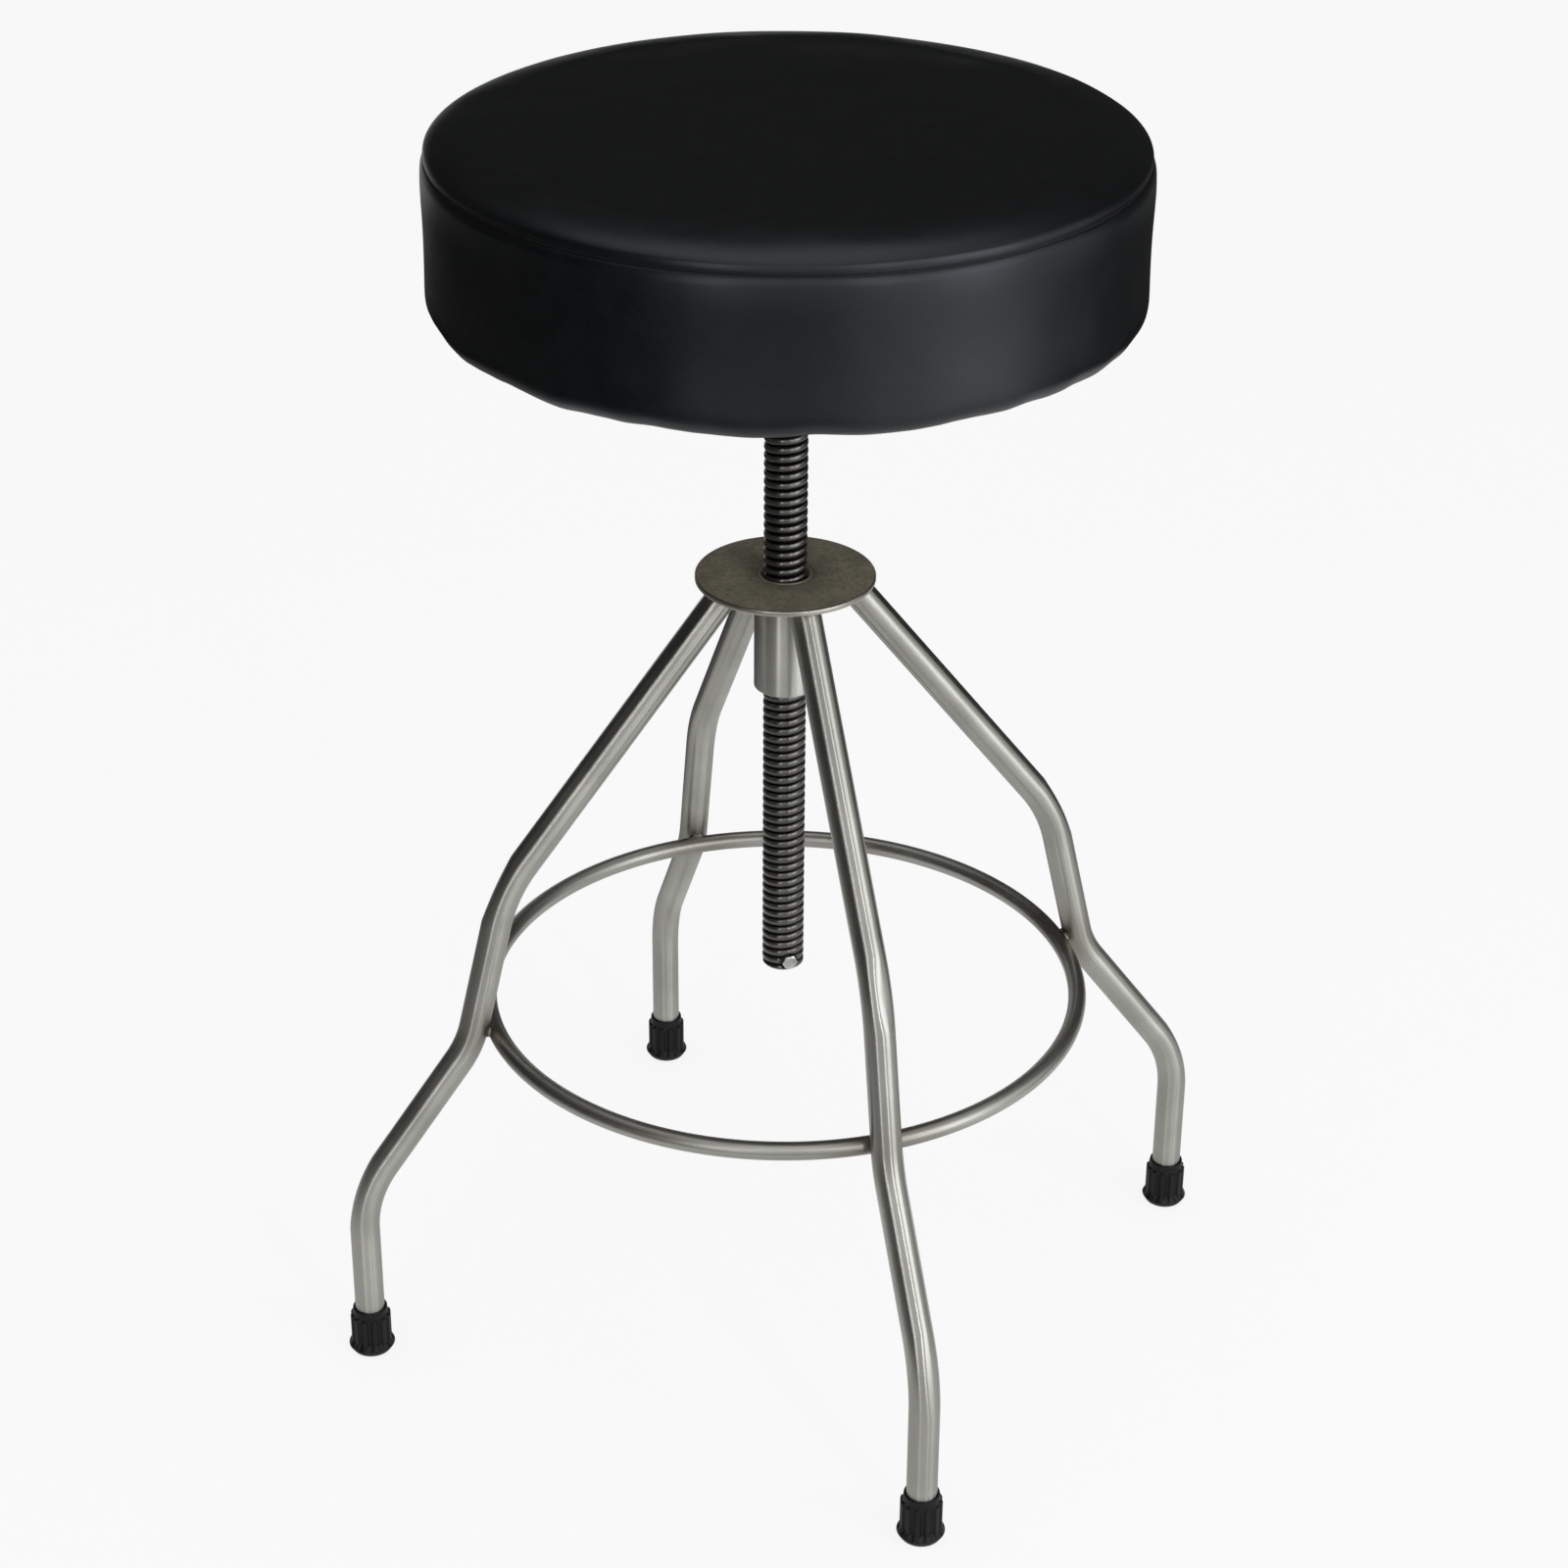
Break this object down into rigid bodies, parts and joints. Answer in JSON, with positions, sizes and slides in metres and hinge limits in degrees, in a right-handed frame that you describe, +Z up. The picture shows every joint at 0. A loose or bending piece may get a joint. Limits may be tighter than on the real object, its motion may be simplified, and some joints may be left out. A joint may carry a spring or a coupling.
{
  "type": "exam stool",
  "caption": "Height-adjustable clinic stool: round padded vinyl seat on a screw spindle, which turns in a hub on bent stainless tube legs with a foot ring and rubber tips.",
  "frame": {"origin": "on the floor, on the spindle's axis", "axes": "+Z up along the spindle; the legs stand along +X, +Y, -X and -Y, and -Y is the leg nearest the viewer in the picture"},
  "size_m": [0.495, 0.495, 0.672],
  "materials": {
    "stainless_steel": "satin",
    "oiled_dark_steel": "oiled",
    "zinc_plated_steel": "plated",
    "black_painted_steel": "satin",
    "black_vinyl": "soft satin",
    "foam": "open cell",
    "plywood": "bare",
    "dust_cloth": "matte",
    "black_rubber": "matte"
  },
  "bodies": {
    "base": {"top_plate": "stainless_steel", "hub_nut": "stainless_steel", "leg_right": "stainless_steel", "leg_back": "stainless_steel", "leg_left": "stainless_steel", "leg_front": "stainless_steel", "foot_ring": "stainless_steel", "foot_tip_right": "black_rubber", "foot_tip_back": "black_rubber", "foot_tip_left": "black_rubber", "foot_tip_front": "black_rubber", "tip_washers": "zinc_plated_steel"},
    "lift": {"spindle_collar": "oiled_dark_steel"},
    "seat": {"spindle": "oiled_dark_steel", "stop_bolt": "zinc_plated_steel", "seat_flange": "black_painted_steel", "seat_bolts": "zinc_plated_steel", "seat_washers": "zinc_plated_steel", "tee_nuts": "zinc_plated_steel", "seat_board": "plywood", "seat_foam": "foam", "seat_top_panel": "black_vinyl", "seat_side_band": "black_vinyl", "dust_cover": "dust_cloth"}
  },
  "joints": [
    {"name": "seat_rise", "type": "slide", "parent": "base", "child": "lift", "axis": [0, 0, 1], "range_m": [-0.12895, 0.15665]},
    {"name": "seat_turn", "type": "hinge", "parent": "lift", "child": "seat", "pos_m": [0, 0, 0.435], "axis": [0, 0, 1], "range_deg": [-9743.6, 11837.5]}
  ],
  "couplings": [
    {"joint": "seat_rise", "follows": "seat_turn", "m_per_rad": 0.00075798}
  ]
}
